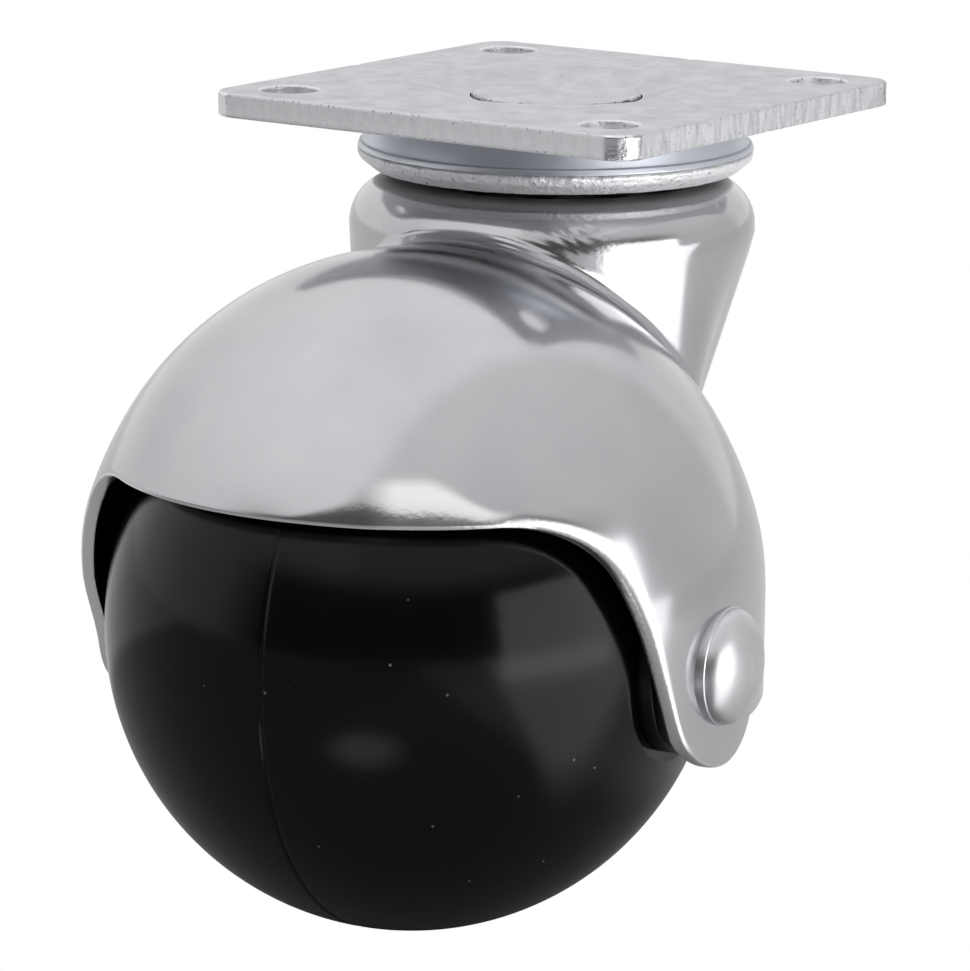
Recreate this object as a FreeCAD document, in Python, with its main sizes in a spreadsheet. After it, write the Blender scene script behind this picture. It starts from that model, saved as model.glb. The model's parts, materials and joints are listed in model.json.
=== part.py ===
"""Swivel ball caster with a hooded 50 mm ball under a square mounting plate.

Units are millimetres and +Z is up. The origin is the centre of the plate's top face, on the swivel axis.
The hood, its axle and the ball are drawn in a frame of their own, whose X runs along the axle and whose -Y
points from the swivel axis to the ball. That frame is turned about Z by rest_swivel, the angle at rest.
"""
import FreeCAD, Part
import math
import os
import Sketcher

SIZES = {
    # Mounting plate
    "hole_spacing": (32.0, "screw holes, centre to centre both ways"),
    "hole_dia": (4.8, "screw hole"),
    "hole_margin": (5.0, "hole centre to the plate's edge"),
    "plate_gauge": (2.1, "sheet of the plate"),
    "plate_corner": (2.6, "radius of the plate's corners"),
    "dish_depth": (0.9, "depth of the dish that keeps the pin's head below the plate's top"),
    "dish_slope": (4.7, "width of the dish's sloping side"),
    # King pin and the washer that holds the hood on it
    "pin_dia": (8.0, "shank of the king pin"),
    "pin_head_dia": (14.3, "flat head in the dish"),
    "pin_seat_depth": (1.3, "depth of its seat below the dish"),
    "pin_proud": (0.3, "how far the head stands out of its seat"),
    "pin_tail_dia": (12.0, "riveted lower end"),
    "pin_tail_length": (1.8, "height of the riveted end"),
    "seat_room": (0.15, "room round the pin's head in its seat"),
    "seat_wall": (1.3, "metal round the pin's seat"),
    "washer_dia": (18.0, "thrust washer under the neck"),
    "washer_gauge": (1.5, "thickness of that washer"),
    # Swivel bearing
    "cup_gauge": (1.3, "sheet of the race cup"),
    "cup_room": (0.5, "room outside the bearing balls"),
    "cup_flare": (1.4, "how far the cup's rim stands out beyond its top"),
    "cup_land": (0.7, "upright land below the rim"),
    "cup_lip": (1.9, "height from the rim to the end of the lip that turns in below it"),
    "lip_gap": (0.6, "open gap between the lip and the neck"),
    "race_ball_dia": (4.8, "bearing ball"),
    "race_land": (0.2, "metal between the pin's seat and the bearing balls"),
    "race_balls": (12, "number of bearing balls"),
    "track_depth": (0.35, "depth of the two ball tracks"),
    "running_gap": (0.08, "clearance between parts that turn on one another"),
    # Hood pressing
    "sheet": (1.2, "sheet of the hood"),
    "hood_room": (1.6, "room between the dome's curve and the ball's"),
    "hood_lift": (2.8, "dome centre above the ball's centre"),
    "hood_back": (1.5, "dome centre behind the ball's centre"),
    "neck_overhang": (1.6, "neck cone, produced to its top, beyond the cup's rim"),
    "neck_angle": (17.0, "half angle of the neck cone"),
    "neck_shoulder": (3.0, "rounding of the neck's top edge"),
    "blend": (1.5, "hollow fillet between neck and dome"),
    "brow_rise": (13.5, "front edge of the dome above the axle"),
    "brow_curve": (7.2, "radius of the sweep from front edge to ear"),
    "ear_angle": (71.0, "slope of the ear's front edge"),
    "ear_radius": (7.0, "rounding of the ear's lower end"),
    "ear_drop": (8.2, "lowest point of the ear below the axle"),
    "skirt_drop": (6.3, "rear edge of the skirt below the axle"),
    "skirt_reach": (9.7, "start of that level edge behind the axle"),
    "edge_round": (0.25, "rounding of pressed and moulded edges"),
    # Ball, bushes and axle
    "ball_dia": (50.0, "ball"),
    "height": (66.0, "plate's top to the floor"),
    "trail": (25.5, "ball centre from the swivel axis"),
    "rest_swivel": (8.0, "swivel angle at rest"),
    "seam_depth": (0.25, "mould parting line round the ball"),
    "bore_room": (0.24, "room round the axle in the ball's own bore"),
    "bush_wall": (1.2, "wall of the hub bush"),
    "bush_length": (8.0, "length of its sleeve"),
    "bush_flange": (1.4, "thickness of its flange"),
    "bush_lip": (3.2, "width of its flange beyond the sleeve"),
    "side_room": (1.6, "room between the flange and the skirt's inside"),
    "axle_dia": (6.0, "axle rivet"),
    "axle_head_dia": (9.5, "domed head of the axle rivet"),
    "axle_head_rim": (0.7, "upright rim of that head"),
    "axle_head_dome": (2.2, "rise of the dome above the rim"),
    "axle_tail_dia": (8.6, "closed end of the axle rivet"),
    "axle_tail_length": (1.6, "height of the closed end"),
    "seat_sink": (0.3, "flat seat of the rivet's ends, below the skirt's outside"),
}

doc = FreeCAD.newDocument("ball_caster")
sheet = doc.addObject("Spreadsheet::Sheet", "Sizes")
for row, (alias, (size, note)) in enumerate(SIZES.items(), start=1):
    sheet.set(f"A{row}", str(size))
    sheet.setAlias(f"A{row}", alias)
    sheet.set(f"B{row}", note)
doc.recompute()


class Dim:
    """A size as a number, to draw with, and as the formula on the sheet's cells that it is bound to."""

    def __init__(self, value, text):
        self.value = value
        self.text = text

    def __add__(self, other):
        other = as_dim(other)
        return Dim(self.value + other.value, f"({self.text} + {other.text})")

    def __sub__(self, other):
        other = as_dim(other)
        return Dim(self.value - other.value, f"({self.text} - {other.text})")

    def __mul__(self, other):
        other = as_dim(other)
        return Dim(self.value * other.value, f"{self.text} * {other.text}")

    def __truediv__(self, other):
        other = as_dim(other)
        return Dim(self.value / other.value, f"{self.text} / {other.text}")

    def __neg__(self):
        return Dim(-self.value, f"(0 - {self.text})")

    def radians(self):
        return math.radians(self.value)

    def sin(self):
        return Dim(math.sin(self.radians()), f"sin({self.text})")

    def cos(self):
        return Dim(math.cos(self.radians()), f"cos({self.text})")

    def tan(self):
        return Dim(math.tan(self.radians()), f"tan({self.text})")


def as_dim(size):
    """A plain number as a Dim, and a Dim as it is."""
    return size if isinstance(size, Dim) else Dim(size, repr(size))


class Cells:
    """The sheet's cells as Dims, by alias."""

    def __getattr__(self, alias):
        return Dim(SIZES[alias][0], f"Sizes.{alias}")


s = Cells()


def bind(item, prop, size):
    """Ties one property of a document object to a formula on the sheet."""
    item.setExpression(prop, as_dim(size).text)


def new_body(label):
    """An empty body, whose label will name its file."""
    body = doc.addObject("PartDesign::Body", label)
    body.Label = label
    return body


def origin_plane(body, role):
    """One of the body's own origin planes, or axes, by its role."""
    return next(item for item in body.Origin.OriginFeatures if item.Role == role)


def new_sketch(body, name, plane):
    """A sketch on one of the body's origin planes."""
    sketch = body.newObject("Sketcher::SketchObject", name)
    sketch.AttachmentSupport = [(origin_plane(body, plane), "")]
    sketch.MapMode = "FlatFace"
    return sketch


def hold(sketch, geometry, end, x, y):
    """Holds one end of a sketch line at x, y from the sketch's origin."""
    for axis, kind, size in ((-2, "DistanceX", as_dim(x)), (-1, "DistanceY", as_dim(y))):
        if size.value == 0:
            sketch.addConstraint(Sketcher.Constraint("PointOnObject", geometry, end, axis))
            continue
        index = sketch.addConstraint(Sketcher.Constraint(kind, -1, 1, geometry, end, size.value))
        sketch.setExpression(f"Constraints[{index}]", size.text)


def section(body, name, plane, corners, domes=(), axis="V_Axis"):
    """A closed outline through the corners, each held by its own two sizes.

    The side that leaves a corner listed in domes is an arc about a point of the axis that the outline is
    turned round, so it becomes part of a sphere. The other sides are straight.
    """
    sketch = new_sketch(body, name, plane)
    count = len(corners)
    spots = [FreeCAD.Vector(as_dim(x).value, as_dim(y).value, 0) for x, y in corners]
    for number, start in enumerate(spots):
        end = spots[(number + 1) % count]
        if number in domes:
            sketch.addGeometry(arc_about_axis(start, end, axis), False)
        else:
            sketch.addGeometry(Part.LineSegment(start, end), False)
    ends = [(2, 1) if reversed_arc(sketch.Geometry[i], spots[i]) else (1, 2) for i in range(count)]
    for number in range(count):
        after = (number + 1) % count
        sketch.addConstraint(
            Sketcher.Constraint("Coincident", number, ends[number][1], after, ends[after][0])
        )
    for number, (x, y) in enumerate(corners):
        hold(sketch, number, ends[number][0], x, y)
    for number in domes:
        line = -2 if axis == "V_Axis" else -1
        sketch.addConstraint(Sketcher.Constraint("PointOnObject", number, 3, line))
    return sketch


def reversed_arc(curve, start):
    """True for an arc that is stored from its other end, because sketch arcs run anticlockwise."""
    return isinstance(curve, Part.ArcOfCircle) and curve.StartPoint.distanceToPoint(start) > 1e-6


def short_arc(centre, one_end, other_end):
    """The shorter arc about a centre between two points."""
    upright = FreeCAD.Vector(0, 0, 1)
    circle = Part.Circle(centre, upright, centre.distanceToPoint(one_end))
    first, last = one_end, other_end
    if (first - centre).cross(last - centre).z < 0:
        first, last = last, first
    return Part.ArcOfCircle(circle, circle.parameter(first), circle.parameter(last))


def arc_about_axis(start, end, axis):
    """The short arc from start to end whose centre lies on the sketch's own axis."""
    middle = (start + end) / 2
    chord = end - start
    if axis == "V_Axis":
        centre = FreeCAD.Vector(0, middle.y + middle.x * chord.x / chord.y, 0)
    else:
        centre = FreeCAD.Vector(middle.x + middle.y * chord.y / chord.x, 0, 0)
    return short_arc(centre, start, end)


def turned(body, name, sketch, kind="Revolution", axis="V_Axis"):
    """Turns an outline once round a sketch axis, as metal added or as a groove cut away."""
    feature = body.newObject(f"PartDesign::{kind}", name)
    feature.Profile = sketch
    feature.ReferenceAxis = (sketch, [axis])
    feature.Angle = 360
    doc.recompute()
    return feature


def rounded(body, name, base, edges, radius):
    """A fillet on the numbered edges of a feature."""
    fillet = body.newObject("PartDesign::Fillet", name)
    fillet.Base = (base, [f"Edge{number}" for number in edges])
    fillet.Radius = as_dim(radius).value
    bind(fillet, "Radius", radius)
    doc.recompute()
    return fillet


def edges_where(feature, test):
    """Numbers of the feature's edges that pass a test, leaving out the point at a dome's pole."""
    numbered = enumerate(feature.Shape.Edges, start=1)
    return [number for number, edge in numbered if not edge.Degenerated and test(edge)]


def place(body, trail=0.0, drop=0.0):
    """Puts a body of the swivelling group at its trail and drop, turned to the swivel angle at rest."""
    trail = as_dim(trail)
    turn = "create(<<rotation>>; create(<<vector>>; 0; 0; 1); Sizes.rest_swivel)"
    spot = (
        f"create(<<vector>>; {trail.text} * sin(Sizes.rest_swivel);"
        f" 0 - {trail.text} * cos(Sizes.rest_swivel); 0 - {as_dim(drop).text})"
    )
    body.setExpression("Placement", f"create(<<placement>>; {spot}; {turn})")


# Radii and drops that several pieces share, from the swivel axis and below the plate's top
plate_half = s.hole_spacing / 2 + s.hole_margin
pin_seat_floor = s.dish_depth + s.pin_seat_depth
pin_seat_radius = s.pin_head_dia / 2 + s.seat_room
boss_radius = pin_seat_radius + s.seat_wall
race_radius = boss_radius + s.race_land + s.race_ball_dia / 2
cup_radius = race_radius + s.race_ball_dia / 2 + s.cup_room + s.cup_gauge
cup_floor = s.plate_gauge + s.cup_gauge
race_drop = cup_floor - s.track_depth + s.running_gap + s.race_ball_dia / 2
neck_drop = race_drop + s.race_ball_dia / 2 + s.running_gap - s.track_depth
neck_ceiling = neck_drop + s.sheet
lip_drop = neck_drop - s.lip_gap
rim_drop = lip_drop - s.cup_lip
washer_top = neck_ceiling + s.running_gap
pin_tail_top = washer_top + s.washer_gauge

# Sizes about the ball: radii of the hood, and distances along the axle from the ball's middle
ball_radius = s.ball_dia / 2
ball_drop = s.height - ball_radius
hood_inside = ball_radius + s.hood_room
hood_radius = hood_inside + s.sheet
hood_trail = s.trail - s.hood_back
hood_drop = ball_drop - s.hood_lift
ear_seat = hood_radius - s.seat_sink
hub_face = hood_inside - s.side_room - s.bush_flange
bush_radius = s.axle_dia / 2 + s.bush_wall
flange_radius = bush_radius + s.bush_lip


def make_mounting_plate():
    """Square plate with rounded corners and four holes, pressed down in the middle to seat the king pin."""
    body = new_body("mounting_plate")
    blank = body.newObject("PartDesign::AdditiveBox", "PlateBlank")
    bind(blank, "Length", plate_half * 2)
    bind(blank, "Width", plate_half * 2)
    bind(blank, "Height", s.plate_gauge)
    bind(blank, "Placement.Base.x", -plate_half)
    bind(blank, "Placement.Base.y", -plate_half)
    bind(blank, "Placement.Base.z", -s.plate_gauge)
    doc.recompute()
    upright = edges_where(blank, lambda edge: abs(edge.tangentAt(edge.FirstParameter).z) > 0.99)
    rounded(body, "PlateCorners", blank, upright, s.plate_corner)

    boss = [(0, -s.plate_gauge), (boss_radius, -s.plate_gauge), (boss_radius, -cup_floor), (0, -cup_floor)]
    turned(body, "SeatBoss", section(body, "SeatBossOutline", "XZ_Plane", boss))
    dish = [
        (0, 0),
        (pin_seat_radius + s.dish_slope, 0),
        (pin_seat_radius, -s.dish_depth),
        (pin_seat_radius, -pin_seat_floor),
        (s.pin_dia / 2, -pin_seat_floor),
        (s.pin_dia / 2, -cup_floor),
        (0, -cup_floor),
    ]
    turned(body, "PinSeat", section(body, "PinSeatOutline", "XZ_Plane", dish), "Groove")

    hole = body.newObject("PartDesign::SubtractiveCylinder", "ScrewHole")
    bind(hole, "Radius", s.hole_dia / 2)
    bind(hole, "Height", s.plate_gauge)
    bind(hole, "Placement.Base.x", s.hole_spacing / 2)
    bind(hole, "Placement.Base.y", s.hole_spacing / 2)
    bind(hole, "Placement.Base.z", -s.plate_gauge)
    pattern = body.newObject("PartDesign::PolarPattern", "ScrewHoles")
    pattern.Originals = [hole]
    pattern.Axis = (origin_plane(body, "Z_Axis"), [""])
    pattern.Occurrences = 4
    body.Tip = pattern
    return body


def make_race_cup():
    """Pressed ring under the plate: ball track, flaring wall, rim with a narrow land and a lip turned in."""
    body = new_body("race_cup")
    rim_radius = cup_radius + s.cup_flare
    land_drop = rim_drop + s.cup_land
    outline = [
        (boss_radius, -s.plate_gauge),
        (cup_radius, -s.plate_gauge),
        (rim_radius, -rim_drop),
        (rim_radius, -land_drop),
        (cup_radius, -lip_drop),
        (cup_radius - s.cup_gauge, -lip_drop),
        (rim_radius - s.cup_gauge, -rim_drop),
        (cup_radius - s.cup_gauge, -cup_floor),
        (boss_radius, -cup_floor),
    ]
    cup = turned(body, "CupRing", section(body, "CupOutline", "XZ_Plane", outline))
    rim = edges_where(
        cup, lambda edge: is_circle(edge, rim_radius, -rim_drop) or is_circle(edge, rim_radius, -land_drop)
    )
    rounded(body, "CupRim", cup, rim, s.edge_round)
    cut_ball_track(body)
    return body


def is_circle(edge, radius, height):
    """True for a full circle of that radius, at that height."""
    curve = edge.Curve
    return (
        isinstance(curve, Part.Circle)
        and abs(curve.Radius - radius.value) < 1e-4
        and abs(curve.Center.z - height.value) < 1e-4
    )


def cut_ball_track(body):
    """Grooves the ring in which the bearing balls run, a little wider than the balls."""
    track = body.newObject("PartDesign::SubtractiveTorus", body.Label + "_track")
    bind(track, "Radius1", race_radius)
    bind(track, "Radius2", s.race_ball_dia / 2 + s.running_gap)
    bind(track, "Placement.Base.z", -race_drop)
    doc.recompute()


def make_race_balls():
    """Loose balls evenly round the track."""
    made = []
    for number in range(round(s.race_balls.value)):
        ball = doc.addObject("Part::Sphere", f"race_ball_{number + 1:02d}")
        ball.Label = ball.Name
        angle = f"{number} * 360 / Sizes.race_balls"
        bind(ball, "Radius", s.race_ball_dia / 2)
        ball.setExpression("Placement.Base.x", f"{race_radius.text} * cos({angle})")
        ball.setExpression("Placement.Base.y", f"{race_radius.text} * sin({angle})")
        bind(ball, "Placement.Base.z", -race_drop)
        made.append(ball)
    return made


def make_king_pin():
    """Flat-headed rivet that holds the hood to the plate, its lower end closed over the thrust washer."""
    body = new_body("king_pin")
    tail_end = pin_tail_top + s.pin_tail_length
    outline = [
        (0, s.pin_proud - s.dish_depth),
        (s.pin_head_dia / 2, s.pin_proud - s.dish_depth),
        (s.pin_head_dia / 2, -pin_seat_floor),
        (s.pin_dia / 2, -pin_seat_floor),
        (s.pin_dia / 2, -pin_tail_top),
        (s.pin_tail_dia / 2, -pin_tail_top),
        (0, -tail_end),
    ]
    turned(body, "Pin", section(body, "PinOutline", "XZ_Plane", outline, domes=(5,)))
    return body


def make_thrust_washer():
    """Washer under the neck, held up by the closed end of the king pin."""
    body = new_body("thrust_washer")
    outline = [
        (s.pin_dia / 2, -washer_top),
        (s.washer_dia / 2, -washer_top),
        (s.washer_dia / 2, -pin_tail_top),
        (s.pin_dia / 2, -pin_tail_top),
    ]
    turned(body, "Washer", section(body, "WasherOutline", "XZ_Plane", outline))
    return body


def hood_volume(body, inset):
    """The hood as a full volume, drawn inside the outer skin by inset.

    It is a cone round the swivel axis with a rounded top, run together with a dome that goes on downwards
    as an upright skirt, and a hollow fillet where the two meet.
    """
    slope = s.neck_angle
    top = neck_drop + inset
    foot = ball_drop + s.ear_drop + s.sheet * 2
    tall = foot - top
    full_radius = cup_radius + s.cup_flare + s.neck_overhang
    top_radius = full_radius - inset * slope.tan() - inset / slope.cos()
    dome_radius = hood_radius - inset

    neck = body.newObject("PartDesign::AdditiveCone", body.Label + "_neck")
    bind(neck, "Radius1", top_radius - tall * slope.tan())
    bind(neck, "Radius2", top_radius)
    bind(neck, "Height", tall)
    bind(neck, "Placement.Base.z", -foot)
    doc.recompute()
    top_edge = edges_where(neck, lambda edge: is_circle(edge, top_radius, -top))
    rounded(body, body.Label + "_shoulder", neck, top_edge, s.neck_shoulder - inset)

    skirt = body.newObject("PartDesign::AdditiveCylinder", body.Label + "_skirt")
    bind(skirt, "Radius", dome_radius)
    bind(skirt, "Height", foot - hood_drop)
    bind(skirt, "Placement.Base.y", -hood_trail)
    bind(skirt, "Placement.Base.z", -foot)
    doc.recompute()
    dome = body.newObject("PartDesign::AdditiveSphere", body.Label + "_dome")
    dome.Angle1 = 0
    bind(dome, "Radius", dome_radius)
    bind(dome, "Placement.Base.y", -hood_trail)
    bind(dome, "Placement.Base.z", -hood_drop)
    doc.recompute()
    seam = edges_where(dome, lambda edge: isinstance(edge.Curve, Part.BSplineCurve))
    rounded(body, body.Label + "_blend", dome, seam, s.blend + inset)


def trim_outline(body):
    """Side view of what is trimmed off the pressing: the front opening, and all below ears and skirt.

    The edge runs level across the brow, sweeps down the front of the ear, rounds its lower end and rises
    to the level rear edge of the skirt.
    """
    sketch = new_sketch(body, "TrimOutline", "YZ_Plane")
    far = hood_radius * 2
    brow = s.brow_rise - ball_drop
    lobe = s.ear_radius - s.ear_drop - ball_drop
    skirt = -ball_drop - s.skirt_drop
    tilt = s.ear_angle.value

    def spot(ahead, height):
        return FreeCAD.Vector(-s.trail.value - ahead, height, 0)

    def along(degrees):
        return FreeCAD.Vector(-as_dim(degrees).cos().value, as_dim(degrees).sin().value, 0)

    ear_centre = spot(0, lobe.value)
    forward = along(tilt - 90)
    ear_front = ear_centre + forward * s.ear_radius.value
    sweep_height = brow.value - s.brow_curve.value
    run = s.brow_curve.value + (sweep_height - ear_front.y) * s.ear_angle.cos().value
    sweep_centre = FreeCAD.Vector(ear_front.x - run / s.ear_angle.sin().value, sweep_height, 0)
    brow_end = sweep_centre + FreeCAD.Vector(0, s.brow_curve.value, 0)
    ear_top = sweep_centre - forward * s.brow_curve.value
    rear_start = spot(-s.skirt_reach.value, skirt.value)
    reach = rear_start - ear_centre
    touch = math.atan2(reach.y, reach.x) - math.acos(s.ear_radius.value / reach.Length)
    ear_rear = ear_centre + FreeCAD.Vector(math.cos(touch), math.sin(touch), 0) * s.ear_radius.value
    front_top = FreeCAD.Vector(-s.trail.value - far.value, brow.value, 0)
    rear_top = FreeCAD.Vector(far.value, skirt.value, 0)
    rear_low = FreeCAD.Vector(far.value, -ball_drop.value - far.value, 0)
    front_low = FreeCAD.Vector(front_top.x, rear_low.y, 0)

    sides = [
        Part.LineSegment(front_top, brow_end),
        short_arc(sweep_centre, brow_end, ear_top),
        Part.LineSegment(ear_top, ear_front),
        short_arc(ear_centre, ear_front, ear_rear),
        Part.LineSegment(ear_rear, rear_start),
        Part.LineSegment(rear_start, rear_top),
        Part.LineSegment(rear_top, rear_low),
        Part.LineSegment(rear_low, front_low),
        Part.LineSegment(front_low, front_top),
    ]
    brow_side, sweep, ear_side, lobe_arc, rise, rear_side, rear_end, floor_side, front_end = range(9)
    starts = [front_top, brow_end, ear_top, ear_front, ear_rear, rear_start, rear_top, rear_low, front_low]
    sketch.addGeometry(sides, False)
    ends = [(2, 1) if reversed_arc(curve, start) else (1, 2) for curve, start in zip(sketch.Geometry, starts)]
    smooth = {brow_side, sweep, ear_side, lobe_arc}
    for side in range(9):
        after = (side + 1) % 9
        kind = "Tangent" if side in smooth else "Coincident"
        sketch.addConstraint(Sketcher.Constraint(kind, side, ends[side][1], after, ends[after][0]))
    for side in (brow_side, rear_side, floor_side):
        sketch.addConstraint(Sketcher.Constraint("Horizontal", side))
    for side in (rear_end, front_end):
        sketch.addConstraint(Sketcher.Constraint("Vertical", side))
    for side, size in ((sweep, s.brow_curve), (lobe_arc, s.ear_radius)):
        index = sketch.addConstraint(Sketcher.Constraint("Radius", side, size.value))
        sketch.setExpression(f"Constraints[{index}]", size.text)
    index = sketch.addConstraint(Sketcher.Constraint("Angle", ear_side, (-s.ear_angle).radians()))
    sketch.setExpression(f"Constraints[{index}]", f"(0 - {s.ear_angle.text}) * 1 deg")
    hold(sketch, brow_side, 1, -s.trail - far, brow)
    hold(sketch, lobe_arc, 3, -s.trail, lobe)
    hold(sketch, rear_side, 1, s.skirt_reach - s.trail, skirt)
    hold(sketch, rear_end, 2, far, -ball_drop - far)
    return sketch


def make_swivel_hood():
    """One deep-drawn pressing: neck with ball track and pin hole, dome, skirt and two ears for the axle."""
    inside = new_body("hood_inside")
    hood_volume(inside, s.sheet)
    body = new_body("swivel_hood")
    hood_volume(body, as_dim(0))
    hollow = body.newObject("PartDesign::Boolean", "Hollow")
    hollow.Type = "Cut"
    hollow.addObject(inside)
    doc.recompute()

    trim = body.newObject("PartDesign::Pocket", "Trim")
    trim.Profile = trim_outline(body)
    trim.Type = "ThroughAll"
    trim.Midplane = True
    doc.recompute()

    seat_radius = s.axle_head_dia / 2
    across_ears(body, "AdditiveCylinder", "EarSeat", seat_radius, hood_inside, ear_seat)
    across_ears(body, "SubtractiveCylinder", "SpotFace", seat_radius, ear_seat, hood_radius)
    across_ears(body, "SubtractiveCylinder", "AxleHole", s.axle_dia / 2, hub_face, hood_radius)

    pin_hole = body.newObject("PartDesign::SubtractiveCylinder", "PinHole")
    bind(pin_hole, "Radius", s.pin_dia / 2 + s.running_gap)
    bind(pin_hole, "Height", s.sheet * 2)
    bind(pin_hole, "Placement.Base.z", -neck_ceiling - s.sheet / 2)
    cut_ball_track(body)
    place(body)
    return body


def across_ears(body, kind, name, radius, start, end):
    """A cylinder along the axle between two distances from the ball's middle, on both ears."""
    tool = body.newObject(f"PartDesign::{kind}", name)
    bind(tool, "Radius", radius)
    bind(tool, "Height", end - start)
    tool.Placement.Rotation = FreeCAD.Rotation(FreeCAD.Vector(0, 1, 0), 90)
    bind(tool, "Placement.Base.x", start)
    bind(tool, "Placement.Base.y", -s.trail)
    bind(tool, "Placement.Base.z", -ball_drop)
    doc.recompute()
    twin = body.newObject("PartDesign::Mirrored", name + "Pair")
    twin.Originals = [tool]
    twin.MirrorPlane = (origin_plane(body, "YZ_Plane"), [""])
    body.Tip = twin
    doc.recompute()


def make_ball_wheel():
    """Moulded ball with a parting line and a flat at each end of its bore, where the bush flange bears."""
    body = new_body("ball_wheel")
    ball = body.newObject("PartDesign::AdditiveSphere", "Ball")
    bind(ball, "Radius", ball_radius)
    ball.Placement.Rotation = FreeCAD.Rotation(FreeCAD.Vector(0, 1, 0), 90)
    doc.recompute()

    bush_end = hub_face - s.bush_length
    bore = s.axle_dia / 2 + s.bore_room
    outline = [
        (0, 0),
        (0, bore),
        (bush_end, bore),
        (bush_end, bush_radius),
        (hub_face, bush_radius),
        (hub_face, ball_radius),
        (ball_radius, ball_radius),
        (ball_radius, 0),
    ]
    sketch = section(body, "HubOutline", "XZ_Plane", outline)
    flat = turned(body, "HubFlat", sketch, "Groove", "H_Axis")
    pair = body.newObject("PartDesign::Mirrored", "HubFlats")
    pair.Originals = [flat]
    pair.MirrorPlane = (origin_plane(body, "YZ_Plane"), [""])
    body.Tip = pair
    doc.recompute()
    flat_radius = math.sqrt(ball_radius.value**2 - hub_face.value**2)
    rims = edges_where(
        pair, lambda edge: isinstance(edge.Curve, Part.Circle) and abs(edge.Curve.Radius - flat_radius) < 1e-4
    )
    rounded(body, "HubRims", pair, rims, s.edge_round)

    seam = [
        (-s.seam_depth, ball_radius + s.seam_depth / 2),
        (s.seam_depth, ball_radius + s.seam_depth / 2),
        (0, ball_radius - s.seam_depth),
    ]
    turned(body, "PartingLine", section(body, "SeamOutline", "XZ_Plane", seam), "Groove", "H_Axis")
    place(body, s.trail, ball_drop)
    return body


def make_hub_bush(label, side):
    """Flanged bush pressed into one end of the ball's bore; side is +1 or -1 along the axle."""
    body = new_body(label)
    bore = s.axle_dia / 2 + s.running_gap
    outline = [
        (hub_face - s.bush_length, bore),
        (hub_face - s.bush_length, bush_radius),
        (hub_face, bush_radius),
        (hub_face, flange_radius),
        (hub_face + s.bush_flange, flange_radius),
        (hub_face + s.bush_flange, bore),
    ]
    corners = [(x * side, y) for x, y in outline]
    turned(body, label + "_turned", section(body, label + "_outline", "XZ_Plane", corners), axis="H_Axis")
    place(body, s.trail, ball_drop)
    return body


def make_axle_rivet():
    """Axle rivet through both ears and the ball: domed head on one side, closed end on the other."""
    body = new_body("axle_rivet")
    rim = ear_seat + s.axle_head_rim
    outline = [
        (-ear_seat - s.axle_tail_length, 0),
        (-ear_seat, s.axle_tail_dia / 2),
        (-ear_seat, s.axle_dia / 2),
        (ear_seat, s.axle_dia / 2),
        (ear_seat, s.axle_head_dia / 2),
        (rim, s.axle_head_dia / 2),
        (rim + s.axle_head_dome, 0),
    ]
    sketch = section(body, "RivetOutline", "XZ_Plane", outline, domes=(0, 5), axis="H_Axis")
    turned(body, "Rivet", sketch, axis="H_Axis")
    place(body, s.trail, ball_drop)
    return body


def check(pieces):
    """Stops if a feature failed, or a piece has no sound shape."""
    doc.recompute()
    for item in doc.Objects:
        if "Invalid" in item.State or "Error" in item.State:
            raise RuntimeError(f"{item.Label} did not build: {item.State}")
    for piece in pieces:
        if piece.Shape.isNull() or not piece.Shape.isValid():
            raise RuntimeError(f"{piece.Label} has no valid shape")


pieces = [
    make_mounting_plate(),
    make_race_cup(),
    make_king_pin(),
    make_thrust_washer(),
    make_swivel_hood(),
    make_ball_wheel(),
    make_hub_bush("hub_bush_right", 1),
    make_hub_bush("hub_bush_left", -1),
    make_axle_rivet(),
]
pieces += make_race_balls()
check(pieces)
os.makedirs("parts", exist_ok=True)
for piece in pieces:
    piece.Shape.exportStep(f"parts/{piece.Label}.step")
    print(piece.Label, len(piece.Shape.Solids), round(piece.Shape.Volume, 1))
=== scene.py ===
"""Looks of a swivel ball caster: plated hood, black moulded ball and a square screw-on plate.

Surfaces are worked out in millimetres as whole arrays and become meshes in metres. The hood, its axle
and the ball are drawn in the swivel's own frame, whose X runs along the axle and whose -Y points to the
ball.
"""
import json
import math

import bmesh
import bpy
import numpy as np
from mathutils import Matrix, Vector


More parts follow.
